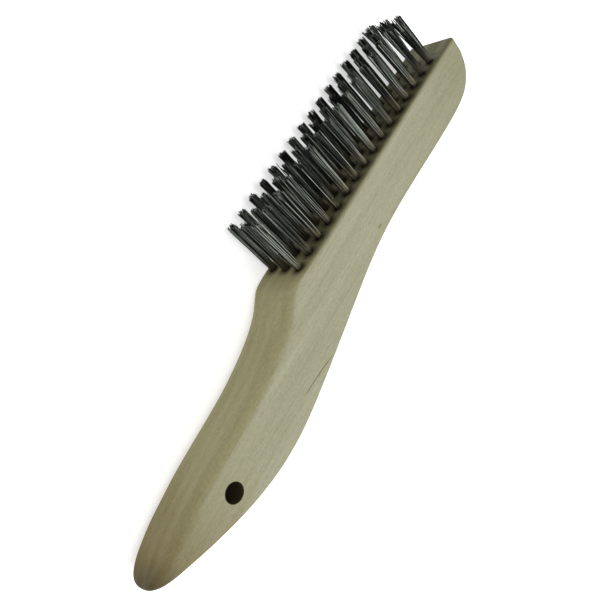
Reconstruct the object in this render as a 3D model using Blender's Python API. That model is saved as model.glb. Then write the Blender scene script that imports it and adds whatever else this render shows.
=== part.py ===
"""Hand wire brush with a one-piece wooden block and handle.

The wood is cut from a flat board, so its two sides are flat and parallel. It carries three columns of
sixteen tufts. Each tuft is a bundle of wire folded over a short flat anchor at the bottom of its own blind
hole. The brush lies on one flat side: +X runs to the toe, +Y is the way the wires point, +Z is up.
"""
import math

import bmesh
import bpy
from mathutils import Vector

MM = 0.001

# ---- wood, in millimetres from the sharp toe edge of the bristle face. Each station is
# (place along the brush, bristle side, back, half width, edge radius on the bristle side, edge radius on the back)
BOARD_HALF = 12.5
STATIONS = [
    (0.3, 0.0, -8.2, 12.5, 1.2, 0.8),
    (-1.1, 0.0, -12.8, 12.5, 1.2, 0.8),
    (-3.6, 0.0, -16.8, 12.5, 1.2, 0.8),
    (-7.4, 0.0, -19.9, 12.5, 1.2, 0.8),
    (-13.5, 0.0, -22.3, 12.5, 1.2, 0.8),
    (-24.0, 0.0, -23.5, 12.5, 1.2, 0.8),
    (-42.0, 0.0, -23.5, 12.5, 1.2, 0.8),
    (-62.0, 0.0, -23.0, 12.5, 1.2, 0.8),
    (-82.0, 0.0, -22.8, 12.5, 1.2, 0.8),
    (-98.0, 0.0, -23.7, 12.5, 1.2, 0.9),
    (-113.0, 0.0, -25.8, 12.5, 1.2, 1.0),
    (-128.0, 0.0, -28.7, 12.5, 1.2, 1.2),
    (-137.5, 0.0, -30.7, 12.5, 1.3, 1.4),
    (-142.0, 0.0, -31.6, 12.5, 1.9, 1.5),
    (-145.3, -0.15, -32.3, 12.5, 3.2, 1.6),
    (-149.0, -1.4, -33.1, 12.5, 5.0, 1.7),
    (-155.0, -4.1, -34.3, 12.5, 6.3, 1.8),
    (-163.0, -6.7, -35.8, 12.5, 6.5, 1.9),
    (-173.0, -8.9, -37.5, 12.5, 6.3, 2.0),
    (-185.0, -10.5, -38.9, 12.5, 6.3, 2.2),
    (-198.0, -11.2, -38.9, 12.5, 6.4, 2.5),
    (-210.0, -11.6, -37.3, 12.5, 6.3, 2.8),
    (-221.0, -12.2, -34.8, 12.5, 6.1, 3.2),
    (-231.0, -13.3, -31.7, 12.4, 5.8, 3.6),
    (-239.0, -14.4, -29.0, 12.1, 5.1, 3.9),
    (-246.0, -15.6, -26.7, 11.3, 4.4, 4.1),
    (-251.5, -16.7, -24.8, 10.1, 3.5, 3.5),
    (-255.5, -17.7, -23.2, 8.3, 2.5, 2.5),
    (-258.0, -18.5, -21.9, 6.0, 1.6, 1.6),
    (-259.2, -19.2, -21.0, 3.8, 0.85, 0.85),
    (-259.7, -19.8, -20.3, 1.3, 0.24, 0.24),
]
SUBDIV = 2
CORNER_STEPS = 4

# ---- hang hole through the two flat sides
HANG_AT = (-217.2, -24.6)
HANG_R = 4.0 * MM
HANG_SIDES = 28

# ---- tufts
ROWS = 16
COLUMNS = 3
PITCH = 7.95 * MM
COLUMN_GAP = 7.9 * MM
FIRST_ROW = -14.9 * MM
LEAN_EVERYWHERE = -0.9 * MM
LEAN_AT_TOE = -3.0 * MM
LEAN_ROWS = 5.5
LEAN_INWARD = 0.1 * MM
HOLE_R = 1.95 * MM
HOLE_DEPTH = 12.5 * MM
HOLE_SIDES = 12
TUFT_SIDES = 8
TRIM = 26.8 * MM
TUFT_RINGS = [(-12.0, 0.9), (-11.2, 1.45), (0.0, 1.6), (14.0, 1.7)]
TIP_HEIGHTS = (26.8, 25.4, 26.4, 25.0, 26.6)
TIP_R = 1.95 * MM
SPLAY_AT_TOE = 0.9
TIP_CORE = 25.6 * MM
ANCHOR_LENGTH = 3.3 * MM
ANCHOR_HEIGHT = 1.4 * MM
ANCHOR_T = 0.5 * MM
ANCHOR_Y = -10.4 * MM

WOOD_COLOUR = (0.55, 0.48, 0.35, 1.0)
STEEL_COLOUR = (0.20, 0.20, 0.21, 1.0)


def clear_scene():
    """Take every object out of the starting scene."""
    for thing in list(bpy.data.objects):
        bpy.data.objects.remove(thing, do_unlink=True)


def make_material(name, colour, metallic, roughness):
    """One Principled material with constants only."""
    material = bpy.data.materials.new(name)
    material.use_nodes = True
    shader = material.node_tree.nodes["Principled BSDF"]
    shader.inputs["Base Color"].default_value = colour
    shader.inputs["Metallic"].default_value = metallic
    shader.inputs["Roughness"].default_value = roughness
    return material


def add_object(name, mesh, material=None):
    """Link a mesh as a named object at the origin."""
    thing = bpy.data.objects.new(name, mesh)
    bpy.context.scene.collection.objects.link(thing)
    if material is not None and not mesh.materials:
        mesh.materials.append(material)
    return thing


def smooth(mesh, angle_deg):
    """Shade round surfaces smooth and keep edges sharper than the angle."""
    mesh.polygons.foreach_set("use_smooth", [True] * len(mesh.polygons))
    mesh.set_sharp_from_angle(angle=math.radians(angle_deg))


def curve_value(a, b, c, d, t):
    """Catmull-Rom value between b and c."""
    square = (2 * a - 5 * b + 4 * c - d) * t * t
    cube = (3 * b - a - 3 * c + d) * t * t * t
    return 0.5 * (2 * b + (c - a) * t + square + cube)


def smooth_stations():
    """The station table with extra stations curved in between."""
    rows = []
    last = len(STATIONS) - 1
    for i in range(last):
        around = [STATIONS[max(i - 1, 0)], STATIONS[i], STATIONS[i + 1], STATIONS[min(i + 2, last)]]
        for step in range(SUBDIV):
            row = [curve_value(*four, step / SUBDIV) for four in zip(*around)]
            row[3] = min(row[3], BOARD_HALF)
            rows.append(row)
    rows.append(list(STATIONS[last]))
    return rows


def section(front, back, half, front_round, back_round):
    """One cross-section of the wood: a rectangle with its own corner radius on each side, as (y, z)."""
    front_round = min(front_round, 0.48 * (front - back))
    back_round = min(back_round, 0.48 * (front - back))
    middle = BOARD_HALF
    corners = [
        (front - front_round, middle + half - front_round, front_round, 0.0),
        (front - front_round, middle - half + front_round, front_round, -90.0),
        (back + back_round, middle - half + back_round, back_round, -180.0),
        (back + back_round, middle + half - back_round, back_round, -270.0),
    ]
    points = []
    for y, z, radius, start in corners:
        for step in range(CORNER_STEPS + 1):
            angle = math.radians(start + 90.0 - 90.0 * step / CORNER_STEPS)
            points.append((y + radius * math.cos(angle), z + radius * math.sin(angle)))
    return points


def wood_mesh():
    """The block and handle as rings of section points, one ring per station, closed at both ends."""
    bm = bmesh.new()
    rings = []
    for x, front, back, half, front_round, back_round in smooth_stations():
        ring = []
        for y, z in section(front, back, half, front_round, back_round):
            ring.append(bm.verts.new((x * MM, y * MM, z * MM)))
        rings.append(ring)
    count = len(rings[0])
    for low, high in zip(rings, rings[1:]):
        for i in range(count):
            j = (i + 1) % count
            bm.faces.new((low[i], low[j], high[j], high[i]))
    bm.faces.new(list(reversed(rings[0])))
    bm.faces.new(rings[-1])
    bmesh.ops.recalc_face_normals(bm, faces=bm.faces)
    mesh = bpy.data.meshes.new("block")
    bm.to_mesh(mesh)
    bm.free()
    return mesh


def add_prism(bm, centre, axis_rings, sides, axis):
    """A closed round solid: rings of (place along the axis, radius), capped flat at both ends."""
    rings = []
    for place, radius in axis_rings:
        ring = []
        for k in range(sides):
            angle = 2 * math.pi * k / sides
            u = radius * math.cos(angle)
            v = radius * math.sin(angle)
            if axis == "Y":
                ring.append(bm.verts.new((centre[0] + u, place, centre[2] + v)))
            else:
                ring.append(bm.verts.new((centre[0] + u, centre[1] + v, place)))
        rings.append(ring)
    for low, high in zip(rings, rings[1:]):
        for k in range(sides):
            j = (k + 1) % sides
            bm.faces.new((low[k], low[j], high[j], high[k]))
    bm.faces.new(list(reversed(rings[0])))
    bm.faces.new(rings[-1])


def tuft_places():
    """Every tuft's row, column and place in the bristle face."""
    for row in range(ROWS):
        for column in range(COLUMNS):
            x = FIRST_ROW - row * PITCH
            z = BOARD_HALF * MM + (column - 0.5 * (COLUMNS - 1)) * COLUMN_GAP
            yield row + 1, column + 1, x, z


def make_cutters():
    """Everything that is drilled out of the wood, as one hidden tool."""
    bm = bmesh.new()
    for _, _, x, z in tuft_places():
        add_prism(bm, (x, 0.0, z), [(-HOLE_DEPTH, HOLE_R), (2 * MM, HOLE_R)], HOLE_SIDES, "Y")
    centre = (HANG_AT[0] * MM, HANG_AT[1] * MM, 0.0)
    add_prism(bm, centre, [(-2 * MM, HANG_R), ((2 * BOARD_HALF + 2) * MM, HANG_R)], HANG_SIDES, "Z")
    bmesh.ops.recalc_face_normals(bm, faces=bm.faces)
    mesh = bpy.data.meshes.new("drill_tool")
    bm.to_mesh(mesh)
    bm.free()
    tool = add_object("drill_tool", mesh)
    tool.hide_render = True
    tool.display_type = "WIRE"
    return tool


def apply_boolean(thing, tool, operation):
    """Run one exact Boolean and keep its result as the object's own mesh."""
    modifier = thing.modifiers.new("cut", "BOOLEAN")
    modifier.operation = operation
    modifier.solver = "EXACT"
    modifier.object = tool
    depsgraph = bpy.context.evaluated_depsgraph_get()
    result = bpy.data.meshes.new_from_object(thing.evaluated_get(depsgraph))
    thing.modifiers.clear()
    thing.data = result
    bpy.data.objects.remove(tool, do_unlink=True)
    return result


def tuft_mesh():
    """One tuft: a wire bundle with an uneven top, joined to the anchor it is folded over."""
    bm = bmesh.new()
    rings = []
    for y, radius in TUFT_RINGS:
        ring = []
        for k in range(TUFT_SIDES):
            angle = 2 * math.pi * k / TUFT_SIDES
            ring.append(bm.verts.new((radius * MM * math.cos(angle), y * MM, radius * MM * math.sin(angle))))
        rings.append(ring)
    tip = []
    for k in range(TUFT_SIDES):
        angle = 2 * math.pi * k / TUFT_SIDES
        height = TIP_HEIGHTS[k % len(TIP_HEIGHTS)] * MM
        tip.append(bm.verts.new((TIP_R * math.cos(angle), height, TIP_R * math.sin(angle))))
    rings.append(tip)
    for low, high in zip(rings, rings[1:]):
        for k in range(TUFT_SIDES):
            j = (k + 1) % TUFT_SIDES
            bm.faces.new((low[k], low[j], high[j], high[k]))
    bm.faces.new(list(reversed(rings[0])))
    core = bm.verts.new((0.0, TIP_CORE, 0.0))
    for k in range(TUFT_SIDES):
        bm.faces.new((tip[k], tip[(k + 1) % TUFT_SIDES], core))
    bmesh.ops.recalc_face_normals(bm, faces=bm.faces)
    mesh = bpy.data.meshes.new("tuft")
    bm.to_mesh(mesh)
    bm.free()
    bundle = add_object("bundle", mesh)
    anchor = bpy.data.meshes.new("anchor")
    bm = bmesh.new()
    bmesh.ops.create_cube(bm, size=1.0)
    bmesh.ops.scale(bm, vec=(ANCHOR_T, ANCHOR_HEIGHT, ANCHOR_LENGTH), verts=bm.verts)
    bmesh.ops.translate(bm, vec=(0.0, ANCHOR_Y, 0.0), verts=bm.verts)
    bm.to_mesh(anchor)
    bm.free()
    joined = apply_boolean(bundle, add_object("anchor_tool", anchor), "UNION")
    bpy.data.objects.remove(bundle, do_unlink=True)
    return joined


def move_mesh(mesh, offset):
    """Shift a mesh's own points, so its object stays at the origin."""
    for vertex in mesh.vertices:
        vertex.co += offset


def lean_mesh(mesh, row, column):
    """Lean a tuft's free length towards the heel, most at the toe, and the outer columns inwards. The first
    row's tufts are also splayed, so they widen in proportion to height."""
    heelward = LEAN_EVERYWHERE + LEAN_AT_TOE * math.exp(-(row - 1) / LEAN_ROWS)
    inward = LEAN_INWARD * (0.5 * (COLUMNS + 1) - column)
    splay = SPLAY_AT_TOE if row == 1 else 0.0
    for vertex in mesh.vertices:
        share = max(vertex.co.y, 0.0) / TRIM
        vertex.co.x *= 1.0 + splay * share
        vertex.co.z *= 1.0 + splay * share
        vertex.co.x += heelward * share
        vertex.co.z += inward * share


def main():
    """Build every piece, then put the frame's origin under the middle of the whole brush."""
    clear_scene()
    wood = make_material("wood", WOOD_COLOUR, 0.0, 0.7)
    steel = make_material("steel_wire", STEEL_COLOUR, 1.0, 0.4)
    block = add_object("block", wood_mesh())
    drilled = apply_boolean(block, make_cutters(), "DIFFERENCE")
    drilled.materials.clear()
    drilled.materials.append(wood)
    lowest = [min(v.co[axis] for v in drilled.vertices) for axis in range(3)]
    highest = [max(v.co[axis] for v in drilled.vertices) for axis in range(3)]
    highest[1] = TRIM
    offset = Vector((-0.5 * (lowest[0] + highest[0]), -0.5 * (lowest[1] + highest[1]), -lowest[2]))
    move_mesh(drilled, offset)
    smooth(drilled, 35)
    shape = tuft_mesh()
    for row, column, x, z in tuft_places():
        mesh = shape.copy()
        mesh.materials.clear()
        mesh.materials.append(steel)
        lean_mesh(mesh, row, column)
        move_mesh(mesh, offset + Vector((x, 0.0, z)))
        smooth(mesh, 50)
        add_object(f"tuft_{row:02d}_{column}", mesh)
    bpy.data.meshes.remove(shape)
    print("frame offset in mm", [round(v / MM, 3) for v in offset])


main()
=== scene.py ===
# %% [markdown]
# # A wire scratch brush, piece by piece
# This lesson dresses a hand wire brush. The real one is a curved block and handle sawn from one flat
# hardwood board, with 48 bundles of steel wire set in drilled holes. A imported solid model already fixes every
# size, and it is loaded first, so that each finer piece made here can be set against it.

import math

import bpy
import numpy as np
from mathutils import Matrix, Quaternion, Vector


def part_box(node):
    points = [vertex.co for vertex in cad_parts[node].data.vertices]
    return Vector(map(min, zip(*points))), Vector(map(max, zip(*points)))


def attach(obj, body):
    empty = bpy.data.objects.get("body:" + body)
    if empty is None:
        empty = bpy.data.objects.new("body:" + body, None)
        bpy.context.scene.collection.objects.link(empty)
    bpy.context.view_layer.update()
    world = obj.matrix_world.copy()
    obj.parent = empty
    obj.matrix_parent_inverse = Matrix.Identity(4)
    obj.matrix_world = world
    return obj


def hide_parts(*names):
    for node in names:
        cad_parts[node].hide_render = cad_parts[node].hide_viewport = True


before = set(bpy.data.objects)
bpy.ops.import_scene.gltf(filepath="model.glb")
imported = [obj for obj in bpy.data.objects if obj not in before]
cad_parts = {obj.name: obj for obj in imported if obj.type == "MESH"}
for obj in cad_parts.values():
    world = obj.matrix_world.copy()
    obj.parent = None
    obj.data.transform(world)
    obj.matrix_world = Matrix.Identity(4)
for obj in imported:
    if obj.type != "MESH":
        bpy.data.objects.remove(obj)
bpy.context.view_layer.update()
MM = 0.001

# %% [markdown]
# ## Where the brush lies
# The brush lies on one flat side. Everything is measured from the sharp toe edge of the bristle face, because
# that is where a maker would lay the rule. Two numbers move that edge into the model's frame, and a third is
# half the thickness of the board.

# %% The toe edge in the model's frame
TOE_X = 129.7
FACE_Y = 6.144
BOARD_HALF = 12.5
wood_low, wood_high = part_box("block")
print("toe end", round(wood_high.x / MM, 2), "bristle face", round(wood_high.y / MM, 2))


def in_frame(points):
    """Millimetres from the toe edge become metres in the model's frame: shift, then divide by 1000."""
    return (np.asarray(points, float) + [TOE_X, FACE_Y, 0.0]) * MM


# %% [markdown]
# ## Two helpers for meshes
# Every new piece here is a grid of points worked out as whole arrays. One helper numbers the four corners of
# each cell of such a grid, and the other hands the finished arrays to a mesh object. Making pieces from arrays
# keeps the shape in a few formulas, which are easier to change than hand-placed points.

# %% Grids and mesh objects


def grid_faces(rows, columns):
    """Cells of a grid that closes on itself across its columns: each joins a point, the next point in its
    ring, and the two points beyond them in the next ring."""
    row = np.arange(rows - 1)[:, None] * columns
    column = np.arange(columns)[None, :]
    after = (column + 1) % columns
    beyond = row + columns
    cells = np.stack([row + column, row + after, beyond + after, beyond + column], axis=-1)
    return cells.reshape(-1, 4)


def add_mesh(name, points, faces):
    """Hand whole arrays of points and faces to a new mesh object at the origin."""
    mesh = bpy.data.meshes.new(name)
    mesh.from_pydata(np.reshape(points, (-1, 3)), [], faces)
    mesh.update()
    thing = bpy.data.objects.new(name, mesh)
    bpy.context.scene.collection.objects.link(thing)
    return thing


# %% [markdown]
# ## The camera
# The camera stands above the bristle side, near the heel of the wires, and looks down on the flat side. It is
# set by where it stands, the point that it looks at, and how far it is rolled. A roll is simpler to reason about
# than three turning angles.

# %% Camera
CAMERA_AT = Vector((-0.1285, 0.1509, 0.2477))
LOOK_AT = Vector((-0.0159, 0.0012, 0.025))
CAMERA_ROLL = 91.84
SENSOR_WIDTH, FOCAL_LENGTH = 36.0, 46.36
camera_data = bpy.data.cameras.new("camera")
camera_data.sensor_width, camera_data.lens = SENSOR_WIDTH, FOCAL_LENGTH
camera = bpy.data.objects.new("camera", camera_data)
bpy.context.scene.collection.objects.link(camera)
roll = Quaternion((0, 0, 1), math.radians(CAMERA_ROLL))
turn = (LOOK_AT - CAMERA_AT).to_track_quat("-Z", "Y") @ roll
camera.rotation_euler = turn.to_euler()
camera.location = CAMERA_AT
bpy.context.scene.camera = camera
print("camera turned by", [round(math.degrees(a), 2) for a in camera.rotation_euler])

# %% [markdown]
# ## Building materials from nodes
# A finish is a small network of nodes. The first helper makes one node, sets its options, and either writes a
# number into each input or joins another node's output to it. The others are the few steps that the recipes
# below repeat: arithmetic, a smooth ramp, one colour over another, and stretched noise.

# %% Node helpers


def node(tree, kind, inputs=None, **options):
    """Make a node, set its options, and fill its inputs with numbers or links."""
    made = tree.nodes.new("ShaderNode" + kind)
    for option, value in options.items():
        setattr(made, option, value)
    for socket, value in (inputs or {}).items():
        if isinstance(value, bpy.types.NodeSocket):
            tree.links.new(value, made.inputs[socket])
        else:
            made.inputs[socket].default_value = value
    return made


def new_material(name):
    """An empty node material, its tree and its shader."""
    material = bpy.data.materials.new(name)
    material.use_nodes = True
    tree = material.node_tree
    return material, tree, tree.nodes["Principled BSDF"]


def math_node(tree, operation, *values):
    """The result of one arithmetic node."""
    return node(tree, "Math", dict(enumerate(values)), operation=operation).outputs[0]


def chain(tree, operation, first, *others):
    """One arithmetic node after another: the sum or the product of all the values."""
    for other in others:
        first = math_node(tree, operation, first, other)
    return first


def ramp_to(tree, value, low, high, first=0.0, last=1.0):
    """A smooth step: low to high becomes first to last, and outside that span the value stays there."""
    inputs = {0: value, 1: low, 2: high, 3: first, 4: last}
    return node(tree, "MapRange", inputs, interpolation_type="SMOOTHSTEP").outputs[0]


def tint(tree, amount, below, above, mode="MIX"):
    """One colour laid over another by an amount from 0 to 1."""
    made = tree.nodes.new("ShaderNodeMix")
    made.data_type = "RGBA"
    made.blend_type = mode
    for socket, value in ((made.inputs[0], amount), (made.inputs[6], below), (made.inputs[7], above)):
        if isinstance(value, bpy.types.NodeSocket):
            tree.links.new(value, socket)
        elif isinstance(value, float):
            socket.default_value = value
        else:
            socket.default_value = (*value, 1.0)
    return made.outputs[2]


def noise(tree, coordinates, stretch, detail=2.0, rough=0.55):
    """Noise whose cells are 1 / stretch metres long along each axis."""
    placed = node(tree, "Mapping", {"Vector": coordinates, "Scale": stretch})
    inputs = {"Vector": placed.outputs[0], "Scale": 1.0, "Detail": detail, "Roughness": rough}
    return node(tree, "TexNoise", inputs).outputs["Fac"]


# %% [markdown]
# ## Floor, sky and lamps
# A white floor that glows softly and a pale sky make a studio's light tent, with hardly a shadow. A large
# square lamp above the handle keeps the flat side the brightest face, and a smaller one beyond the toe, on the
# back's side, gives the shapes a soft direction.

# %% Floor and light
FLOOR_HALF = 30.0
FLOOR_GREY, FLOOR_GLOW, SKY_GLOW = 0.8, 0.5, 0.6
WHITE = (1.0, 1.0, 1.0, 1.0)
floor_corners = np.array([(-1, -1, 0), (1, -1, 0), (1, 1, 0), (-1, 1, 0)], float) * FLOOR_HALF
floor = add_mesh("floor", floor_corners, [(0, 1, 2, 3)])
floor_material, floor_tree, floor_shader = new_material("white_floor")
floor_shader.inputs["Base Color"].default_value = (FLOOR_GREY, FLOOR_GREY, FLOOR_GREY, 1.0)
floor_shader.inputs["Emission Color"].default_value = WHITE
floor_shader.inputs["Emission Strength"].default_value = FLOOR_GLOW
floor_shader.inputs["Roughness"].default_value = 0.9
floor_shader.inputs["Specular IOR Level"].default_value = 0.0
floor.data.materials.append(floor_material)

world = bpy.data.worlds.new("tent")
bpy.context.scene.world = world
world.use_nodes = True
sky = world.node_tree.nodes["Background"].inputs
sky["Color"].default_value = WHITE
sky["Strength"].default_value = SKY_GLOW


def add_lamp(name, place, aim, size, power):
    """A square lamp, with its size in metres and its power in watts, that faces its aim."""
    data = bpy.data.lights.new(name, "AREA")
    data.shape = "SQUARE"
    data.size = size
    data.energy = power
    lamp = bpy.data.objects.new(name, data)
    lamp.location = place
    lamp.rotation_euler = (Vector(aim) - Vector(place)).to_track_quat("-Z", "Y").to_euler()
    bpy.context.scene.collection.objects.link(lamp)


add_lamp("overhead", (-0.25, 0.1, 1.25), (0.0, 0.0, 0.0), 1.2, 6.5)
add_lamp("key", (0.30, -0.60, 1.05), (0.0, 0.0, 0.0), 0.7, 8.0)
bpy.context.scene.view_settings.view_transform = "Standard"
print("floor and lamps:", len(bpy.data.lights))

# %% [markdown]
# ## The wood's outline
# The table gives stations along the board: how far the bristle side and the back stand from the bristle face,
# half the width, and the radius of the rounding on each side, all in millimetres. A Catmull-Rom curve runs
# through the stations, which keeps long runs straight and turns the nose, the heel shoulder and the handle end
# smoothly.

# %% Stations and the curve through them
STATIONS = np.array([
    (0.3, 0.0, -8.2, 12.5, 1.2, 0.8),
    (-1.1, 0.0, -12.8, 12.5, 1.2, 0.8),
    (-3.6, 0.0, -16.8, 12.5, 1.2, 0.8),
    (-7.4, 0.0, -19.9, 12.5, 1.2, 0.8),
    (-13.5, 0.0, -22.3, 12.5, 1.2, 0.8),
    (-24.0, 0.0, -23.5, 12.5, 1.2, 0.8),
    (-42.0, 0.0, -23.5, 12.5, 1.2, 0.8),
    (-62.0, 0.0, -23.0, 12.5, 1.2, 0.8),
    (-82.0, 0.0, -22.8, 12.5, 1.2, 0.8),
    (-98.0, 0.0, -23.7, 12.5, 1.2, 0.9),
    (-113.0, 0.0, -25.8, 12.5, 1.2, 1.0),
    (-128.0, 0.0, -28.7, 12.5, 1.2, 1.2),
    (-137.5, 0.0, -30.7, 12.5, 1.3, 1.4),
    (-142.0, 0.0, -31.6, 12.5, 1.9, 1.5),
    (-145.3, -0.15, -32.3, 12.5, 3.2, 1.6),
    (-149.0, -1.4, -33.1, 12.5, 5.0, 1.7),
    (-155.0, -4.1, -34.3, 12.5, 6.3, 1.8),
    (-163.0, -6.7, -35.8, 12.5, 6.5, 1.9),
    (-173.0, -8.9, -37.5, 12.5, 6.3, 2.0),
    (-185.0, -10.5, -38.9, 12.5, 6.3, 2.2),
    (-198.0, -11.2, -38.9, 12.5, 6.4, 2.5),
    (-210.0, -11.6, -37.3, 12.5, 6.3, 2.8),
    (-221.0, -12.2, -34.8, 12.5, 6.1, 3.2),
    (-231.0, -13.3, -31.7, 12.4, 5.8, 3.6),
    (-239.0, -14.4, -29.0, 12.1, 5.1, 3.9),
    (-246.0, -15.6, -26.7, 11.3, 4.4, 4.1),
    (-251.5, -16.7, -24.8, 10.1, 3.5, 3.5),
    (-255.5, -17.7, -23.2, 8.3, 2.5, 2.5),
    (-258.0, -18.5, -21.9, 6.0, 1.6, 1.6),
    (-259.2, -19.2, -21.0, 3.8, 0.85, 0.85),
    (-259.7, -19.8, -20.3, 1.3, 0.24, 0.24),
])
STATION_STEPS = 7


def curve_through(table, steps):
    """Catmull-Rom: each stretch is a cubic whose slope at a station is half the difference of its two
    neighbours. All columns are curved at once, and the end rows are doubled to stand in for neighbours."""
    rows = np.concatenate([table[:1], table, table[-1:]])
    a, b, c, d = rows[:-3, None], rows[1:-2, None], rows[2:-1, None], rows[3:, None]
    t = (np.arange(steps) / steps)[None, :, None]
    square = (2 * a - 5 * b + 4 * c - d) * t**2
    cube = (3 * b - a - 3 * c + d) * t**3
    curved = 0.5 * (2 * b + (c - a) * t + square + cube)
    return np.concatenate([curved.reshape(-1, table.shape[1]), table[-1:]])


along = curve_through(STATIONS, STATION_STEPS)
along[:, 3] = np.minimum(along[:, 3], BOARD_HALF)
along[:, 1] = np.minimum(along[:, 1], 0.0)
print("sections along the board:", len(along))

# %% [markdown]
# ## The wood's surface
# A cross-section is a rectangle with rounded corners. The surface is a grid: one parameter runs along the
# stations and the other once round the section. Extra points stand close to each rounding and across the flats,
# so that shading stays flat on the flats and turns only in the roundings.

# %% Sections carried along the stations
CORNER_STEPS = 7
MOST_ROUNDED = 0.48
FLAT_SHARES = np.array([0.03, 0.22, 0.4, 0.6, 0.78, 0.97])


def round_sections(stations):
    """For every station at once: quarter circles about the four corner centres, joined by straight flats.
    Returns an array of stations by points by (x, y, z)."""
    x, front, back, half, front_round, back_round = stations.T[:, :, None]
    most = MOST_ROUNDED * (front - back)
    front_round, back_round = np.minimum(front_round, most), np.minimum(back_round, most)
    corners = (
        (front - front_round, half - front_round, front_round, 90.0),
        (front - front_round, front_round - half, front_round, 0.0),
        (back + back_round, back_round - half, back_round, -90.0),
        (back + back_round, half - back_round, back_round, -180.0),
    )
    quarter = np.linspace(0.0, 0.5 * np.pi, CORNER_STEPS + 1)[None, :]
    arcs = []
    for y, z, radius, start in corners:
        angle = math.radians(start) - quarter
        arc_y, arc_z = y + radius * np.cos(angle), BOARD_HALF + z + radius * np.sin(angle)
        arcs.append(np.stack([arc_y, arc_z], axis=-1))
    flats = []
    for arc, following in zip(arcs, arcs[1:] + arcs[:1]):
        flats.append(arc[:, -1:] + (following[:, :1] - arc[:, -1:]) * FLAT_SHARES[None, :, None])
    ring = np.concatenate([part for pair in zip(arcs, flats) for part in pair], axis=1)
    return np.concatenate([np.broadcast_to(x[:, :, None], ring.shape[:2] + (1,)), ring], axis=2)


rings = round_sections(along)
ring_size = rings.shape[1]
toe_end = list(range(ring_size))[::-1]
handle_end = [(len(rings) - 1) * ring_size + k for k in range(ring_size)]
wood_faces = grid_faces(len(rings), ring_size).tolist() + [toe_end, handle_end]
block = add_mesh("wood_block", in_frame(rings), wood_faces)
print("wood surface faces:", len(block.data.polygons))

# %% [markdown]
# ## Drilled holes
# Forty-eight blind holes take the wires, in three columns of sixteen, and one hole through the handle hangs the
# brush on a nail. A drill is a profile turned about its axis, with a small flare where it breaks the surface.
# One exact Boolean takes all the drills out of the wood, which gives true walls and floors to every hole.

# %% Places of the holes
ROWS, COLUMNS = 16, 3
PITCH = 7.95
COLUMN_GAP = 7.9
FIRST_ROW = -14.9
HOLE_R, HOLE_DEPTH = 1.72, 12.5
HANG_AT = np.array((-217.2, -24.6, 0.0))
HANG_R = 4.0

row_number, column_number = np.meshgrid(np.arange(ROWS), np.arange(COLUMNS), indexing="ij")
tuft_feet = np.stack([
    FIRST_ROW - row_number * PITCH,
    np.zeros_like(row_number, float),
    BOARD_HALF + (column_number - 1) * COLUMN_GAP,
], axis=-1)
print("holes:", tuft_feet.shape[0] * tuft_feet.shape[1])

# %% Turned profiles and closed tubes


def turned(profile, centres, sides, axis):
    """A profile of (place along the axis, radius) turned about Y or Z at every centre at once: the two other
    coordinates are the radius times the cosine and sine of evenly spaced angles."""
    place, radius = np.array(profile, float).T[:, None, :, None]
    angle = np.arange(sides) * 2 * np.pi / sides
    across, up = radius * np.cos(angle), radius * np.sin(angle)
    place = np.broadcast_to(place, across.shape)
    order = (across, place, up) if axis == "Y" else (across, up, place)
    return np.stack(order, axis=-1) + np.reshape(centres, (-1, 1, 1, 3))


def closed_tubes(tubes):
    """Faces for many equal tubes at once: the cells of each tube and a lid at each end."""
    number, length, sides = tubes.shape[:3]
    start = (np.arange(number) * length * sides)[:, None]
    walls = (grid_faces(length, sides)[None] + start[:, :, None]).reshape(-1, 4)
    first = np.arange(sides)[::-1] + start
    last = np.arange(sides) + (length - 1) * sides + start
    return walls.tolist() + first.tolist() + last.tolist()


def facing_out(thing):
    """Turn every face of a closed mesh outwards if its signed volume, the sum over its triangles of a sixth of
    the triple product of their corners, says that it is inside out. Returns the volume in cubic metres."""
    mesh = thing.data
    mesh.calc_loop_triangles()
    corner = np.empty(len(mesh.loop_triangles) * 3, np.int32)
    mesh.loop_triangles.foreach_get("vertices", corner)
    place = np.empty(len(mesh.vertices) * 3, np.float32)
    mesh.vertices.foreach_get("co", place)
    a, b, c = place.reshape(-1, 3)[corner.reshape(-1, 3)].transpose(1, 0, 2).astype(float)
    volume = np.einsum("ij,ij->i", a, np.cross(b, c)).sum() / 6
    if volume < 0:
        mesh.flip_normals()
    return abs(volume)


# %% [markdown]
# ### The drills and the cut
# A drill's profile is a few steps: its depth, its radius, a small flare, and an end that stands well clear of the
# wood, because a Boolean is surest where no face of the drill lies in a face of the wood.

# %% Drill the wood
FLARE, FLARE_DEPTH = 0.12, 0.3
HANG_FLARE, HANG_FLARE_DEPTH = 0.15, 0.2
DRILL_CLEAR = 2.0
TUFT_DRILL_SIDES, HANG_DRILL_SIDES = 20, 48
tuft_drill = [
    (-HOLE_DEPTH, HOLE_R),
    (-FLARE_DEPTH, HOLE_R),
    (0.0, HOLE_R + FLARE),
    (DRILL_CLEAR, HOLE_R + FLARE),
]
board = 2 * BOARD_HALF
hang_drill = [
    (-DRILL_CLEAR, HANG_R + HANG_FLARE),
    (0.0, HANG_R + HANG_FLARE),
    (HANG_FLARE_DEPTH, HANG_R),
    (board - HANG_FLARE_DEPTH, HANG_R),
    (board, HANG_R + HANG_FLARE),
    (board + DRILL_CLEAR, HANG_R + HANG_FLARE),
]
tuft_drills = turned(tuft_drill, tuft_feet, TUFT_DRILL_SIDES, "Y")
hang_drills = turned(hang_drill, HANG_AT, HANG_DRILL_SIDES, "Z")
drills = [add_mesh("tuft_drills", in_frame(tuft_drills), closed_tubes(tuft_drills))]
drills.append(add_mesh("hang_drill", in_frame(hang_drills), closed_tubes(hang_drills)))
print("wood cubic centimetres before drilling:", round(facing_out(block) * 1e6, 1))


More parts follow.
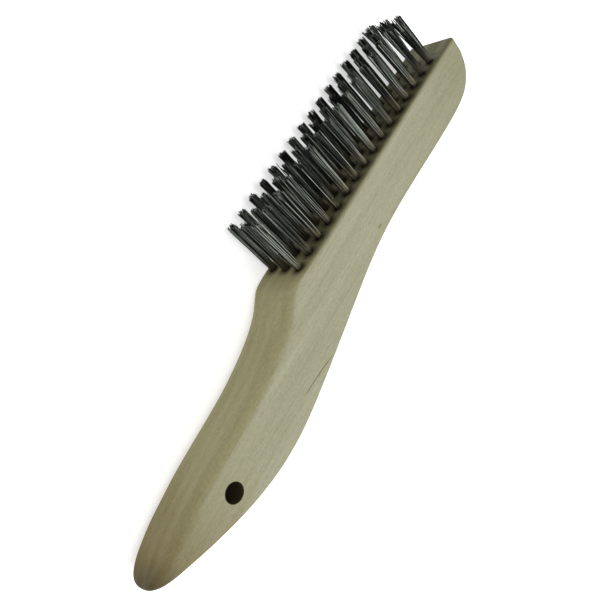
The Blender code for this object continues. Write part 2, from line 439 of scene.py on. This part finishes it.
def drill_out(thing, tools):
    """Subtract each tool and keep the result as the object's own mesh."""
    for tool in tools:
        facing_out(tool)
        cut = thing.modifiers.new("cut", "BOOLEAN")
        cut.operation, cut.solver, cut.object = "DIFFERENCE", "EXACT", tool
    evaluated = thing.evaluated_get(bpy.context.evaluated_depsgraph_get())
    result = bpy.data.meshes.new_from_object(evaluated)
    thing.modifiers.clear()
    thing.data = result
    for tool in tools:
        bpy.data.objects.remove(tool, do_unlink=True)


drill_out(block, drills)
print("wood cubic centimetres after drilling:", round(facing_out(block) * 1e6, 1))

# %% [markdown]
# ## Smooth shading on sawn wood
# The roundings should look round and the flats flat. Edges steeper than 35 degrees are kept sharp, and weighted
# normals let the large flat faces decide the shading of the narrow strips beside them.

# %% Shading of the wood
block.data.polygons.foreach_set("use_smooth", np.ones(len(block.data.polygons), bool))
block.data.set_sharp_from_angle(angle=math.radians(35))
weighted = block.modifiers.new("flat_sides", "WEIGHTED_NORMAL")
weighted.keep_sharp = True
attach(block, "root")
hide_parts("block")
print("wood faces after drilling:", len(block.data.polygons))

# %% [markdown]
# ## Bare hardwood
# The board is unvarnished, so it is dull, with fine fibres along its length. Rings about a pith that lies below
# the board give growth bands that run along the flat sides and curve across the ends, as in a real plank. Five
# noises are stretched along the board, from long pale streaks down to single pores. The sawn edges are browner
# than the planed sides, and the same darker colour also paints shade onto them, as they face away from the light
# above.

# %% Wood material
PLANED = (0.318, 0.316, 0.218)
LATE_WOOD = (0.302, 0.297, 0.201)
SAWN_EDGE_AND_SHADE = (0.90, 0.85, 0.65)
DARK_PORE = (0.16, 0.12, 0.07)
PITH_AT = (0.0, 0.055, 0.11)
RING_STRETCH = (0.13, 1.0, 1.0)
ROUNDED, FLAT = 0.80, 1.0

wood, tree, shader = new_material("bare_hardwood")
coordinates = node(tree, "TexCoord").outputs["Object"]
facing = node(tree, "TexCoord").outputs["Normal"]
place = node(tree, "SeparateXYZ", {0: coordinates}).outputs
normal = node(tree, "SeparateXYZ", {0: facing}).outputs

pith = node(tree, "Mapping", {"Vector": coordinates, "Location": PITH_AT, "Scale": RING_STRETCH})
ring_options = {"wave_type": "RINGS", "rings_direction": "X", "wave_profile": "SIN"}
ring_inputs = {"Scale": 62.0, "Distortion": 5.0, "Detail": 2.0, "Detail Scale": 0.35}
growth = node(tree, "TexWave", {"Vector": pith.outputs[0], **ring_inputs}, **ring_options).outputs["Fac"]
fibre = noise(tree, coordinates, (38.0, 1300.0, 1300.0), 3.0)
streak = noise(tree, coordinates, (9.0, 260.0, 260.0), 3.0, 0.6)
mottle = noise(tree, coordinates, (16.0, 42.0, 42.0), 3.0)
pore = noise(tree, coordinates, (130.0, 2100.0, 2100.0), 1.0)
speckle = noise(tree, coordinates, (900.0, 1500.0, 1500.0), 2.0, 0.7)
print("nodes of the wood's patterns:", len(tree.nodes))

# %% Colours laid over one another
colour = tint(tree, growth, PLANED, LATE_WOOD)
for pattern, low, high, shade in (
    (streak, 0.30, 0.75, (0.94, 0.92, 0.87)),
    (mottle, 0.35, 0.70, (1.05, 1.05, 1.08)),
    (fibre, 0.30, 0.75, (0.90, 0.89, 0.86)),
    (speckle, 0.32, 0.68, (0.87, 0.87, 0.84)),
):
    colour = tint(tree, ramp_to(tree, pattern, low, high), colour, shade, "MULTIPLY")
pore_share = ramp_to(tree, pore, 0.66, 0.74, 0.0, 0.35)
colour = tint(tree, pore_share, colour, DARK_PORE)
# Painted shade: the sides, which face away from the light above, are darkened along with the browner sawn wood.
edge_and_shade_share = ramp_to(tree, math_node(tree, "ABSOLUTE", normal["Z"]), ROUNDED, FLAT, 1.0, 0.0)
colour = tint(tree, edge_and_shade_share, colour, SAWN_EDGE_AND_SHADE, "MULTIPLY")
print("wood nodes so far:", len(tree.nodes))

# %% [markdown]
# ### Stains and painted shade round the wires
# Each darkening is a distance turned into an amount, and darkens the wood by that amount. The rust rings repeat
# with the holes, so the distance to the nearest hole comes from wrapping the two coordinates by the spacing of
# the rows and columns. Grey steel dust and painted shade from the wires lie between the rows and thin out behind
# the last one, and the sides are darker in a thin band along the face's edges.

# %% Rust, dust and painted shade
RUST_STAIN = (0.27, 0.215, 0.15)
STEEL_DUST_AND_SHADE = (0.37, 0.41, 0.36)
RIM_DARKENING = (0.55, 0.50, 0.41)
RUST_NEAR, RUST_FAR = 2.2, 5.6
RAGGED = 0.0012


def behind_toe(distance):
    """The model's X, in metres, at a distance in millimetres behind the toe edge."""
    return (TOE_X - distance) * MM


def under_face(depth):
    """The model's Y, in metres, at a depth in millimetres under the bristle face."""
    return (FACE_Y - depth) * MM


def to_nearest(tree, value, first, step):
    """Distance from a coordinate to the nearest of a row of evenly spaced places: divide by the step, take the
    difference from the rounded value, and multiply back."""
    steps = math_node(tree, "DIVIDE", math_node(tree, "SUBTRACT", value, first), step)
    past = math_node(tree, "SUBTRACT", steps, math_node(tree, "ROUND", steps))
    return math_node(tree, "MULTIPLY", past, step)


def root_of_squares(tree, *parts):
    """The square root of the sum of the parts' squares."""
    squares = [math_node(tree, "POWER", part, 2.0) for part in parts]
    return math_node(tree, "SQRT", chain(tree, "ADD", *squares))


first_hole = in_frame(tuft_feet[0, 0])
from_row = to_nearest(tree, place["X"], float(first_hole[0]), PITCH * MM)
from_column = to_nearest(tree, place["Z"], float(first_hole[2]), COLUMN_GAP * MM)
from_hole = root_of_squares(tree, from_row, from_column)
ragged_hole = chain(tree, "ADD", from_hole, chain(tree, "MULTIPLY", mottle, RAGGED))
near_hole = ramp_to(tree, ragged_hole, RUST_NEAR * MM, RUST_FAR * MM, 1.0, 0.0)
on_face = ramp_to(tree, place["Y"], under_face(0.9), under_face(0.1))
off_heel = ramp_to(tree, place["X"], behind_toe(139.5), behind_toe(137.5))
off_toe = ramp_to(tree, place["X"], behind_toe(10.0), behind_toe(8.0), 1.0, 0.0)
rust_share = chain(tree, "MULTIPLY", near_hole, on_face, off_heel, off_toe)
colour = tint(tree, rust_share, colour, RUST_STAIN, "MULTIPLY")

# Painted shade: the face between the rows, where the wires shade it, is darkened along with the grey steel dust.
along_rows = ramp_to(tree, place["X"], behind_toe(143.0), behind_toe(118.0))
dust_and_shade_share = chain(tree, "MULTIPLY", along_rows, on_face, ramp_to(tree, streak, 0.2, 0.6, 0.65, 1.0))
colour = tint(tree, dust_and_shade_share, colour, STEEL_DUST_AND_SHADE, "MULTIPLY")
ragged_rim = chain(tree, "ADD", place["Y"], chain(tree, "MULTIPLY", streak, RAGGED))
near_rim = ramp_to(tree, ragged_rim, under_face(2.2), under_face(-0.3))
off_face = ramp_to(tree, on_face, 0.0, 1.0, 0.9, 0.0)
colour = tint(tree, chain(tree, "MULTIPLY", near_rim, along_rows, off_face), colour, RIM_DARKENING, "MULTIPLY")
print("wood nodes with rust and dust:", len(tree.nodes))

# %% [markdown]
# ### Inside the holes
# A drilled wall is torn end grain that little light reaches, so it is darker than the outside. The walls are
# found by their place: within a hair of a hole's radius from its axis, and between the face and the hole's floor.

# %% Drilled walls
DRILLED = (0.20, 0.16, 0.12)
WALL_EASE = 0.2
WALL_FROM, WALL_TO = 1.7, 1.9
COLUMNS_HALF = 10.2


def from_point(tree, centre, reach):
    """Distance from a point across the board, with each of X and Y divided by its own reach."""
    parts = []
    for axis, middle, length in zip("XY", centre, reach):
        offset = math_node(tree, "SUBTRACT", place[axis], float(middle))
        parts.append(math_node(tree, "DIVIDE", offset, length))
    return root_of_squares(tree, *parts)


from_hang = from_point(tree, in_frame(HANG_AT), (MM, MM))
hang_wall = ramp_to(tree, from_hang, HANG_R, HANG_R + WALL_EASE, 1.0, 0.0)
colour = tint(tree, hang_wall, colour, DRILLED, "MULTIPLY")

tuft_wall = ramp_to(tree, from_hole, WALL_FROM * MM, WALL_TO * MM, 1.0, 0.0)
before_heel = ramp_to(tree, place["X"], behind_toe(137.5), behind_toe(137.4))
from_middle = math_node(tree, "ABSOLUTE", math_node(tree, "SUBTRACT", place["Z"], BOARD_HALF * MM))
in_columns = math_node(tree, "LESS_THAN", from_middle, COLUMNS_HALF * MM)
below_face = ramp_to(tree, place["Y"], under_face(0.5), under_face(0.1), 1.0, 0.0)
above_floor = math_node(tree, "GREATER_THAN", place["Y"], under_face(HOLE_DEPTH + WALL_EASE))
in_block = chain(tree, "MULTIPLY", before_heel, off_toe, in_columns, below_face, above_floor)
colour = tint(tree, chain(tree, "MULTIPLY", tuft_wall, in_block), colour, DRILLED, "MULTIPLY")
print("wood nodes with drilled walls:", len(tree.nodes))

# %% [markdown]
# ### Two small flaws
# A real board is never clean. The upper side has a small brown fleck and a short dark split that follows the
# grain. The split is a parabola, and its darkness falls off on both sides of that line and towards its two ends.

# %% A fleck and a split
FLECK = (0.20, 0.165, 0.06)
FLECK_AT, FLECK_REACH = (0.0343, -0.0132), (0.0017, 0.0006)
SPLIT = (0.075, 0.045, 0.028)
SPLIT_X, SPLIT_Y, SPLIT_SLOPE, SPLIT_BEND, SPLIT_WANDER = -0.0327, -0.0242, -0.0825, -3.7, -0.0004
SPLIT_NARROW, SPLIT_WIDE = 0.00008, 0.00030

upper_side = ramp_to(tree, place["Z"], 0.0244, 0.0249)
fleck_share = ramp_to(tree, from_point(tree, FLECK_AT, FLECK_REACH), 0.5, 1.3, 0.9, 0.0)
colour = tint(tree, chain(tree, "MULTIPLY", fleck_share, upper_side), colour, FLECK)

run = math_node(tree, "SUBTRACT", place["X"], SPLIT_X)
slope = math_node(tree, "MULTIPLY", run, SPLIT_SLOPE)
bend = math_node(tree, "MULTIPLY", math_node(tree, "POWER", run, 2.0), SPLIT_BEND)
wander = math_node(tree, "MULTIPLY", mottle, SPLIT_WANDER)
split_line = chain(tree, "ADD", slope, bend, SPLIT_Y, wander)
off_line = math_node(tree, "ABSOLUTE", math_node(tree, "SUBTRACT", place["Y"], split_line))
on_line = ramp_to(tree, off_line, SPLIT_NARROW, SPLIT_WIDE, 0.85, 0.0)
fade_in = ramp_to(tree, run, -0.0125, -0.006)
fade_out = ramp_to(tree, run, 0.006, 0.0115, 1.0, 0.0)
colour = tint(tree, chain(tree, "MULTIPLY", on_line, fade_in, fade_out, upper_side), colour, SPLIT)
print("wood nodes with flaws:", len(tree.nodes))

# %% [markdown]
# ### Use, handling and painted shade
# Hands have darkened the handle, most of all at its rounded end, and the same darkening paints the shade of the
# light falling off towards the handle and over its rounded end. The wood is also a little darker towards the toe.
# These are amounts that grow along the board. The mottling shifts them, so that no edge of a darkening runs
# straight.
# Under the stains, the fibres stand up and the pores sink in by a hair, and the streaks vary the dullness.

# %% Grime, painted shade, dullness and relief
TOE_SHADE = (0.86, 0.855, 0.81)
HAND_GRIME_AND_SHADE = (0.62, 0.54, 0.38)
END_GRIME_AND_SHADE = (0.25, 0.205, 0.16)
SMEAR = 0.02

toe_share = ramp_to(tree, place["X"], behind_toe(50.0), behind_toe(4.0))
colour = tint(tree, toe_share, colour, TOE_SHADE, "MULTIPLY")
smeared = math_node(tree, "ADD", place["X"], math_node(tree, "MULTIPLY", mottle, SMEAR))
# Painted shade: these darkenings also stand in for the light falling off towards the handle and over its rounded
# end.
for full, none, shade in ((255.0, 190.0, HAND_GRIME_AND_SHADE), (254.0, 234.0, END_GRIME_AND_SHADE)):
    grime_and_shade_share = ramp_to(tree, smeared, behind_toe(full), behind_toe(none), 1.0, 0.0)
    colour = tint(tree, grime_and_shade_share, colour, shade, "MULTIPLY")
tree.links.new(colour, shader.inputs["Base Color"])

tree.links.new(ramp_to(tree, streak, 0.2, 0.8, 0.58, 0.78), shader.inputs["Roughness"])
shader.inputs["Specular IOR Level"].default_value = 0.28
raised = math_node(tree, "MULTIPLY", fibre, 0.6)
sunken = math_node(tree, "MULTIPLY", pore_share, 1.2)
relief = math_node(tree, "SUBTRACT", raised, sunken)
bump = node(tree, "Bump", {"Strength": 0.35, "Distance": 0.0002, "Height": relief})
tree.links.new(bump.outputs[0], shader.inputs["Normal"])
block.data.materials.clear()
block.data.materials.append(wood)
print("wood nodes:", len(tree.nodes))

# %% [markdown]
# ## Bundles of wire
# A bundle is a handful of straight steel wires, folded in half over a short flat bar and driven into the hole,
# so each wire shows two legs. Each wire here is one tube along a U-shaped path: down one leg, round under the
# bar, and up the other. The legs' places in the hole follow a sunflower spiral, which fills a circle evenly.
# Higher up the circle widens, neighbours cling together in clumps, and seeded random shifts bend the legs and
# leave the cut ends uneven. The first row is the most used, and its wires are splayed.

# %% Sizes of a bundle
WIRES, WIRE_R, WIRE_SIDES = 28, 0.19, 5
TRIM = 26.8
TRIM_SHORT, TRIM_SPREAD, TRIM_MOST = 0.15, 1.15, 3.4
MOUTH_R, MOUTH_SHIFT, TIP_R = 1.34, 0.15, 2.2
SPLAY_AT_TOE = 0.7
CLUMPS, CLUMP_RING, CLUMP_PULL = 5, 0.62, 0.3
DRIFT, BOW, WANDER = 0.23, 0.10, 0.15
LEAN_EVERYWHERE, LEAN_AT_TOE, LEAN_ROWS, LEAN_INWARD = -0.9, -3.0, 5.5, 0.1
BAR_Y, BAR_HEIGHT, BAR_THICK, BAR_LENGTH = -10.4, 1.4, 0.5, 3.3
LEG_SHARES = np.array([0.0, 0.28, 0.52, 0.76, 1.0])
GOLDEN = math.pi * (3 - math.sqrt(5))
print("legs in a bundle:", 2 * WIRES, "wire thickness:", 2 * WIRE_R)

# %% The path of every wire in a bundle


def leg_places(random):
    """Places of all the legs in a circle of radius 1: the radius is the square root of the leg's share, and each
    leg turns by the golden angle. Legs are then split by side of the bar and paired by their place along it."""
    leg = np.arange(2 * WIRES)
    radius = np.sqrt((leg + 0.5) / (2 * WIRES))
    angle = leg * GOLDEN + random.uniform(0, 2 * np.pi)
    spot = np.stack([radius * np.cos(angle), radius * np.sin(angle)], axis=-1)
    spot = spot[np.argsort(spot[:, 0])]
    left, right = spot[:WIRES], spot[WIRES:]
    return np.stack([left[np.argsort(left[:, 1])], right[np.argsort(right[:, 1])]], axis=1)


def to_clumps(spot, random):
    """The step from each leg to the nearest of a few centres, which stand at even angles on a ring and each at a
    distance of its own from the middle."""
    angle = (np.arange(CLUMPS) + random.uniform(0, 1)) * 2 * np.pi / CLUMPS
    outwards = np.stack([np.cos(angle), np.sin(angle)], axis=-1)
    centre = CLUMP_RING * outwards * random.uniform(0.7, 1.2, (CLUMPS, 1))
    nearest = np.argmin(np.linalg.norm(spot - centre, axis=-1), axis=-1)
    return centre[nearest][:, :, None] - spot


def leg_paths(row, column, random):
    """One bundle's legs as an array of wires by 2 legs by heights by (x, y, z). The bundle's axis leans in
    proportion to height. Each leg keeps its place in the circle, which widens with height to the power 0.75. It
    adds a pull to its clump in proportion to height, a sideways drift that grows with the cube of the height, and
    a bow of half a sine wave. The first row is widened once more, in proportion to height."""
    spot = leg_places(random)[:, :, None, :]
    top = TRIM - TRIM_SHORT - np.abs(random.normal(0.0, TRIM_SPREAD, (WIRES, 2)))
    top = np.clip(top, TRIM - TRIM_MOST, TRIM - TRIM_SHORT)[:, :, None]
    height = top * LEG_SHARES
    rise = LEG_SHARES[None, None, :, None]
    circle = MOUTH_R + (TIP_R - MOUTH_R - WIRE_R) * rise**0.75
    pull = CLUMP_PULL * to_clumps(spot, random) * TIP_R * rise
    drift = random.normal(0.0, DRIFT, (WIRES, 2, 1, 2)) * rise**3
    bow = random.normal(0.0, BOW, (WIRES, 2, 1, 2)) * np.sin(np.pi * rise)
    side = spot * circle + pull + drift + bow
    side *= 1.0 + (SPLAY_AT_TOE if row == 0 else 0.0) * rise
    heelward = LEAN_EVERYWHERE + LEAN_AT_TOE * math.exp(-row / LEAN_ROWS)
    inward = LEAN_INWARD * (1 - column)
    wander = random.normal(0.0, WANDER, 2)
    x = side[..., 0] + MOUTH_SHIFT * (1.0 - LEG_SHARES) + (heelward + wander[0]) * height / TRIM
    z = side[..., 1] + (inward + wander[1]) * height / TRIM
    return np.stack([x, height, z], axis=-1)


# %% [markdown]
# ### The fold at the bottom
# Under the bar the wires cannot all lie in one place. They share out the bar's length evenly, and every second
# wire lies one layer further out, which eases the crowding. The bar is short, so the hidden folds still press
# into one another a little.

# %% The fold under the bar
FOLD_MIDWAY, FOLD_LAYER, FOLD_EASE = -5.0, 0.36, 0.25


def fold_paths(legs):
    """Join the two legs of each wire below the mouth: both run down beside the bar, at even places along it, and
    meet under it. Halfway down, a leg is midway between its place at the mouth and its place beside the bar.
    Returns wires by points by (x, y, z), from one tip to the other."""
    wire = np.arange(WIRES)
    layer = FOLD_LAYER * (wire % 2)
    place = ((wire + 0.5) / WIRES - 0.5) * (BAR_LENGTH - 0.5)
    gap = 0.5 * BAR_THICK + WIRE_R + layer
    low = BAR_Y - 0.5 * BAR_HEIGHT
    halves = []
    for leg, side in ((0, -1.0), (1, 1.0)):
        mouth_x, mouth_z = legs[:, leg, 0, 0], legs[:, leg, 0, 2]
        midway = np.full(WIRES, FOLD_MIDWAY)
        middle = np.stack([0.5 * (mouth_x + side * gap), midway, 0.5 * (mouth_z + place)], -1)
        beside = np.stack([side * gap, np.full(WIRES, low + 0.2), place], -1)
        halves.append(np.concatenate([legs[:, leg, ::-1], middle[:, None], beside[:, None]], axis=1))
    under = np.stack([np.zeros(WIRES), low - FOLD_EASE - layer, place], -1)[:, None]
    return np.concatenate([halves[0], under, halves[1][:, ::-1]], axis=1)


def tubes_along(paths, radius, sides):
    """A round tube along every path at once. At each point the ring lies across the path's direction: one of
    its axes is Z with the part along the path taken away, and the other is square to both."""
    direction = np.gradient(paths, axis=1)
    direction /= np.linalg.norm(direction, axis=-1, keepdims=True)
    first = np.array([0.0, 0.0, 1.0]) - direction * direction[..., 2:3]
    first /= np.linalg.norm(first, axis=-1, keepdims=True)
    second = np.cross(direction, first)
    angle = np.arange(sides) * 2 * np.pi / sides
    around = first[:, :, None] * np.cos(angle)[:, None] + second[:, :, None] * np.sin(angle)[:, None]
    return paths[:, :, None] + radius * around


def add_tone(thing, tone, points_each):
    """Give every point of a wire that wire's own number, from 0 dark to 1 bright, for the material to read."""
    values = np.repeat(tone, points_each).astype(np.float32)
    thing.data.attributes.new("wire_tone", "FLOAT", "POINT").data.foreach_set("value", values)


# %% [markdown]
# ### All 48 bundles
# Every bundle has its own seed, so no two are alike and each comes out the same every time. The tones of the
# wires are random too. Raising them to a power above 1 makes dark wires more common than bright ones.

# %% Bundles
FIRST_SEED = 1000
TONE_POWER = 1.3
bundles = []
for row in range(ROWS):
    for column in range(COLUMNS):
        random = np.random.default_rng(FIRST_SEED + row * COLUMNS + column)
        paths = fold_paths(leg_paths(row, column, random)) + tuft_feet[row, column]
        tubes = tubes_along(paths, WIRE_R, WIRE_SIDES)
        name = f"tuft_{row + 1:02d}_{column + 1}"
        bundle = add_mesh(name.replace("tuft", "wires"), in_frame(tubes), closed_tubes(tubes))
        facing_out(bundle)
        bundle.data.polygons.foreach_set("use_smooth", np.ones(len(bundle.data.polygons), bool))
        bundle.data.set_sharp_from_angle(angle=math.radians(80))
        add_tone(bundle, random.uniform(0.0, 1.0, WIRES) ** TONE_POWER, tubes.shape[1] * WIRE_SIDES)
        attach(bundle, "root")
        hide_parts(name)
        bundles.append(bundle)
print("bundles:", len(bundles), "faces in each:", len(bundles[0].data.polygons))

# %% [markdown]
# ## The bars that hold the wires
# Under every bundle lies the flat bar that its wires are folded over, pressed into the bottom of the hole. They
# are hidden, but a brush cut open would show them. A bar is a rectangle with its corners cut off, carried a short
# way, and all 48 are one piece because they are alike and never move.

# %% Anchor bars
BAR_EASE = 0.12
half, eased = 0.5, 0.5 - BAR_EASE
across = np.array([-half, -eased, eased, half, half, eased, -eased, -half]) * BAR_THICK
upward = np.array([eased, half, half, eased, -eased, -half, -half, -eased]) * BAR_HEIGHT
bar_ring = np.stack([across, BAR_Y + upward, np.zeros(len(across))], axis=-1)
bar_ends = np.array([-0.5, 0.5])[:, None, None] * [0.0, 0.0, BAR_LENGTH]
bars = (bar_ring[None] + bar_ends)[None] + tuft_feet.reshape(-1, 1, 1, 3)
anchor_bars = add_mesh("anchor_bars", in_frame(bars), closed_tubes(bars))
facing_out(anchor_bars)
add_tone(anchor_bars, np.full(ROWS * COLUMNS, 0.5), 2 * len(across))
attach(anchor_bars, "root")
print("anchor bars:", len(bars))

# %% [markdown]
# ## Drawn steel wire
# Wire is drawn through a die, so it has faint scratches along its length and a grey shine that is never a clean
# mirror. Each wire carries its own tone, since some are bright and some have dulled. Near the wood a little rust
# and dust, with painted shade deep in the bundles, darken them further, and the last rows towards the heel are a
# little brighter.

# %% Steel material
DULL_STEEL = (0.005, 0.006, 0.0045)
BRIGHT_STEEL = (0.31, 0.34, 0.295)
WIRE_RUST_AND_SHADE = (0.100, 0.084, 0.050)
TONE_SHARE, PATCH_SHARE, HEEL_SHARE = 0.7, 0.45, 0.11

steel, tree, shader = new_material("drawn_steel")
coordinates = node(tree, "TexCoord").outputs["Object"]
place = node(tree, "SeparateXYZ", {0: coordinates}).outputs
tone = node(tree, "Attribute", attribute_name="wire_tone").outputs["Fac"]
patches = noise(tree, coordinates, (900.0, 120.0, 900.0), 2.0)
scratch = noise(tree, coordinates, (9000.0, 260.0, 9000.0), 2.0)
from_tone = math_node(tree, "MULTIPLY", tone, TONE_SHARE)
from_patches = math_node(tree, "MULTIPLY", patches, PATCH_SHARE)
from_heel = ramp_to(tree, place["X"], behind_toe(135.0), behind_toe(90.0), HEEL_SHARE, 0.0)
brightness = chain(tree, "ADD", from_tone, from_patches, from_heel)
colour = tint(tree, ramp_to(tree, brightness, 0.45, 1.08), DULL_STEEL, BRIGHT_STEEL)
# Painted shade: near the wood, deep in the bundles, the wires are darkened along with their rust.
near_wood = ramp_to(tree, place["Y"], under_face(1.0), under_face(-12.0), 0.95, 0.0)
patchiness = ramp_to(tree, patches, 0.3, 0.6, 0.4, 1.0)
colour = tint(tree, math_node(tree, "MULTIPLY", near_wood, patchiness), colour, WIRE_RUST_AND_SHADE)
tree.links.new(colour, shader.inputs["Base Color"])
shader.inputs["Metallic"].default_value = 0.85
tree.links.new(ramp_to(tree, scratch, 0.2, 0.8, 0.28, 0.48), shader.inputs["Roughness"])
bump = node(tree, "Bump", {"Strength": 0.3, "Distance": 0.00003, "Height": scratch})
tree.links.new(bump.outputs[0], shader.inputs["Normal"])
for piece in bundles + [anchor_bars]:
    piece.data.materials.append(steel)
print("steel nodes:", len(tree.nodes))
